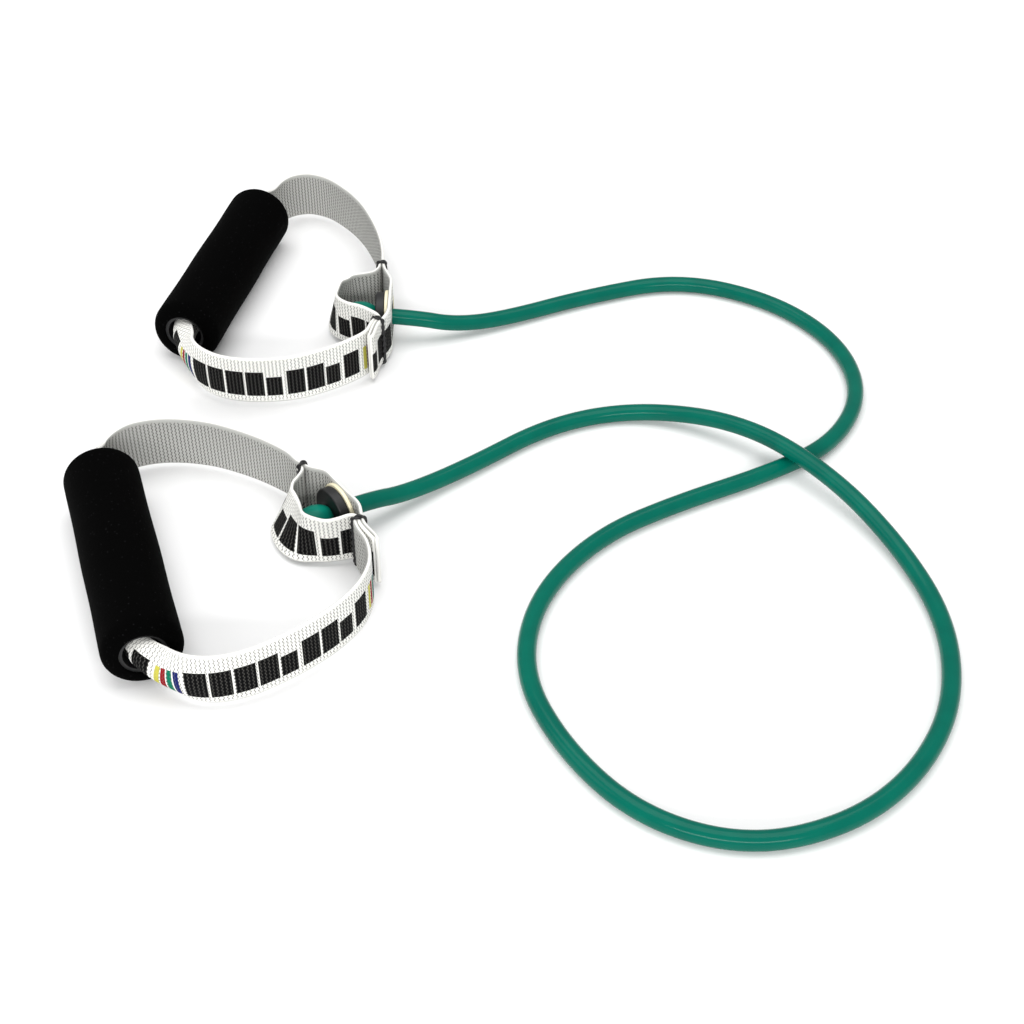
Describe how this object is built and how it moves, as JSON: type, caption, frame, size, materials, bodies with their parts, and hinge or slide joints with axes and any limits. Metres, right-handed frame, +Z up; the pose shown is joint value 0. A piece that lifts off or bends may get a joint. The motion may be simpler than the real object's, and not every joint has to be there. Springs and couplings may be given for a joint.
{
  "type": "resistance band",
  "caption": "Round latex exercise tube lying in a loose loop, with a foam-gripped webbing handle swivelling on each swollen end.",
  "frame": {"origin": "middle of the rectangle that the two handles cover, on the surface that the band lies on", "axes": "+Z up; +Y from the near handle to the far one; +X from the handles towards the loop of tube"},
  "size_m": [0.375, 0.4485, 0.033],
  "materials": {
    "tube": "glossy latex",
    "foam": "matt closed-cell foam",
    "core": "moulded",
    "webbing": "coarse woven",
    "thread": "twisted",
    "washer": "moulded",
    "backing": "punched",
    "ball": "moulded"
  },
  "bodies": {
    "tube": {"resistance_tube": "tube", "near_tube_end": "tube", "near_ball_plug": "ball", "far_tube_end": "tube", "far_ball_plug": "ball"},
    "near_washers": {"near_washer": "washer", "near_backing_washer": "backing"},
    "near_strap": {"near_strap_loop": "webbing", "near_pocket_strip": "webbing", "near_first_seam": "thread", "near_second_seam": "thread"},
    "near_grip": {"near_foam_grip": "foam", "near_grip_core": "core"},
    "far_washers": {"far_washer": "washer", "far_backing_washer": "backing"},
    "far_strap": {"far_strap_loop": "webbing", "far_pocket_strip": "webbing", "far_first_seam": "thread", "far_second_seam": "thread"},
    "far_grip": {"far_foam_grip": "foam", "far_grip_core": "core"}
  },
  "joints": [
    {"name": "near_washer_spin", "type": "hinge", "parent": "tube", "child": "near_washers", "pos_m": [0.0522, -0.08252, 0.015], "axis": [0.8111, 0.585, 0], "continuous": true},
    {"name": "near_swivel", "type": "hinge", "parent": "tube", "child": "near_strap", "pos_m": [0.0522, -0.08252, 0.015], "axis": [0.8111, 0.585, 0], "range_deg": [-150, 150]},
    {"name": "near_grip_spin", "type": "hinge", "parent": "near_strap", "child": "near_grip", "pos_m": [-0.0375, -0.117, 0.0165], "axis": [-0.3156, 0.9489, 0], "continuous": true},
    {"name": "far_washer_spin", "type": "hinge", "parent": "tube", "child": "far_washers", "pos_m": [0.06444, 0.06701, 0.015], "axis": [1, 0.0035, 0], "continuous": true},
    {"name": "far_swivel", "type": "hinge", "parent": "tube", "child": "far_strap", "pos_m": [0.06444, 0.06701, 0.015], "axis": [1, 0.0035, 0], "range_deg": [-150, 150]},
    {"name": "far_grip_spin", "type": "hinge", "parent": "far_strap", "child": "far_grip", "pos_m": [-0.0228, 0.1058, 0.0165], "axis": [0.2079, 0.9781, 0], "continuous": true}
  ]
}
